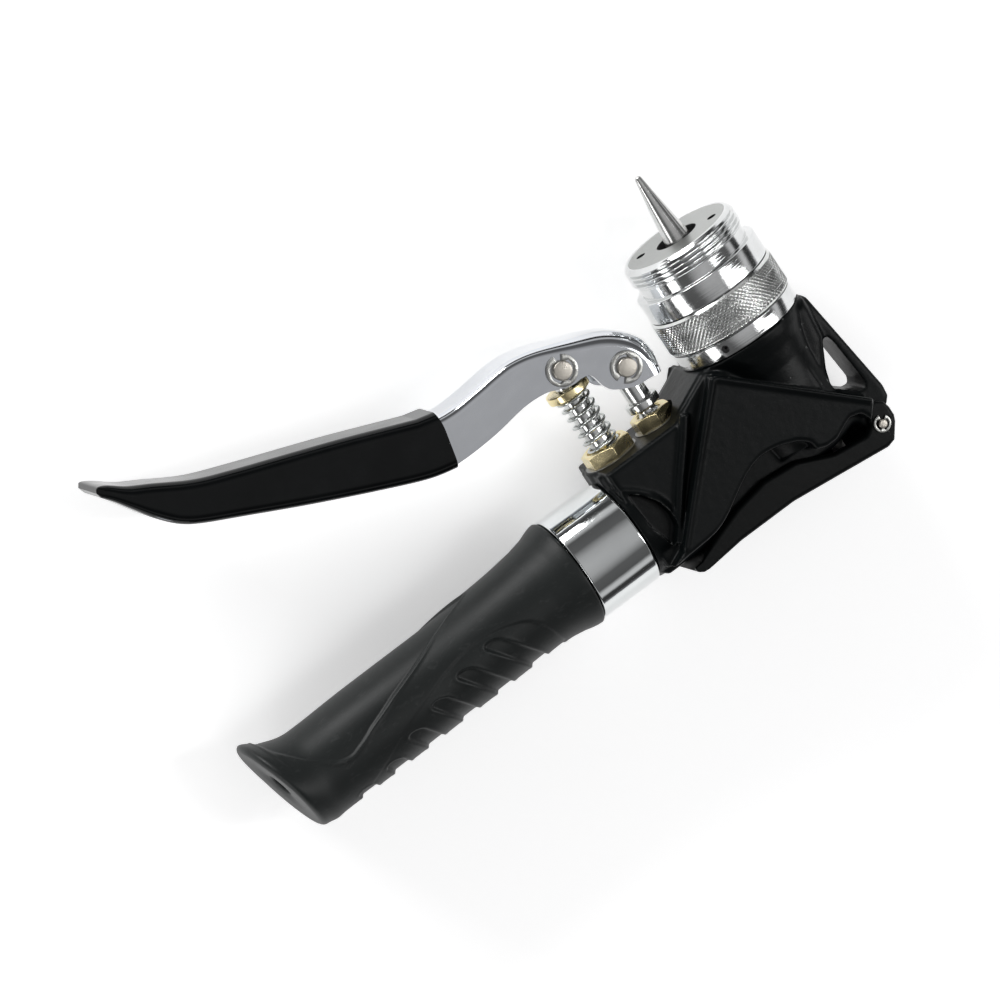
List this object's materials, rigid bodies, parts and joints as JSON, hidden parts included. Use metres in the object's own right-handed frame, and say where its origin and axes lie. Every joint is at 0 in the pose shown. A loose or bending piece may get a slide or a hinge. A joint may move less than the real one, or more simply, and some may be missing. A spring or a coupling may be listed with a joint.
{
  "type": "hydraulic tube expander",
  "caption": "One-hand hydraulic tube expander: pump lever over an oil-reservoir grip, black cast body, threaded chrome nose with a tapered mandrel and a release lever.",
  "frame": {"origin": "on the flat side face of the body's gusset plate, under the point where the grip axis and the ram axis cross; the tool lies on this side", "axes": "+X along the grip axis from the butt towards the body, +Y along the ram axis towards the mandrel tip, +Z the side normal, which every hinge axis follows"},
  "size_m": [0.2229, 0.1335, 0.0419],
  "materials": {
    "body_black": "satin black coating on a die casting",
    "nose_chrome": "bright chrome, turned and knurled",
    "steel": "machined steel",
    "mandrel_steel": "ground and polished steel",
    "seal_rubber": "moulded nitrile rubber",
    "spring_steel": "bright drawn wire",
    "collar_chrome": "bright chrome, turned",
    "grip_rubber": "matte moulded rubber",
    "brass": "machined yellow brass",
    "post_steel": "bright plated rod",
    "lever_chrome": "chrome plated pressed steel",
    "vinyl_black": "glossy dipped vinyl",
    "pin_steel": "dull zinc plated steel",
    "lever_black": "satin black coating on pressed steel"
  },
  "bodies": {
    "frame": {"pump_body": "body_black", "nose_cylinder": "nose_chrome", "knurled_ring": "nose_chrome", "lock_ring": "nose_chrome", "lock_screw": "steel", "ram_spring": "spring_steel", "reservoir_collar": "collar_chrome", "reservoir_tube": "steel", "oil_bladder": "seal_rubber", "reservoir_plug": "steel", "grip_sleeve": "grip_rubber", "pump_gland_nut": "brass", "fulcrum_nut": "brass", "ball_seat": "steel", "pump_spring": "spring_steel", "release_pin": "pin_steel", "release_clip_upper": "pin_steel", "release_clip_lower": "pin_steel"},
    "post": {"fulcrum_post": "post_steel", "post_collar": "collar_chrome"},
    "lever": {"pump_lever": "lever_chrome", "lever_sleeve": "vinyl_black", "fulcrum_pin": "pin_steel", "pump_pin": "pin_steel", "fulcrum_clip_upper": "pin_steel", "fulcrum_clip_lower": "pin_steel", "pump_clip_upper": "pin_steel", "pump_clip_lower": "pin_steel"},
    "pump": {"pump_rod": "post_steel", "spring_cap": "brass", "pump_seal": "seal_rubber"},
    "ram": {"ram_piston": "steel", "mandrel": "mandrel_steel", "ram_seal": "seal_rubber"},
    "release": {"release_lever": "lever_black"},
    "relief": {"release_plunger": "steel"}
  },
  "joints": [
    {"name": "post_rock", "type": "hinge", "parent": "frame", "child": "post", "pos_m": [-0.03645, 0.0226, 0.02095], "axis": [0, 0, 1], "range_deg": [-9.8, 0]},
    {"name": "lever_squeeze", "type": "hinge", "parent": "post", "child": "lever", "pos_m": [-0.03645, 0.0423, 0.02095], "axis": [0, 0, 1], "range_deg": [0, 34], "stiffness_Nm_per_rad": 0.25, "springref_deg": -14.32},
    {"name": "pump_stroke", "type": "slide", "parent": "frame", "child": "pump", "axis": [0, -1, 0], "range_m": [0, 0.0083], "deforming": ["pump_spring"]},
    {"name": "ram_extend", "type": "slide", "parent": "frame", "child": "ram", "axis": [0, 1, 0], "range_m": [0, 0.012], "stiffness_N_per_m": 600, "springref_m": -0.006, "deforming": ["ram_spring"]},
    {"name": "release_press", "type": "hinge", "parent": "frame", "child": "release", "pos_m": [0.0184, -0.0175, 0.02095], "axis": [0, 0, 1], "range_deg": [-2, 0], "stiffness_Nm_per_rad": 0.6, "springref_deg": 4.58},
    {"name": "relief_push", "type": "slide", "parent": "frame", "child": "relief", "axis": [0, 1, 0], "range_m": [0, 0.00045]}
  ],
  "couplings": [
    {"joint": "post_rock", "follows": "lever_squeeze", "ratio": -0.28},
    {"joint": "pump_stroke", "follows": "lever_squeeze", "m_per_rad": 0.01358},
    {"joint": "relief_push", "follows": "release_press", "m_per_rad": -0.0124}
  ]
}
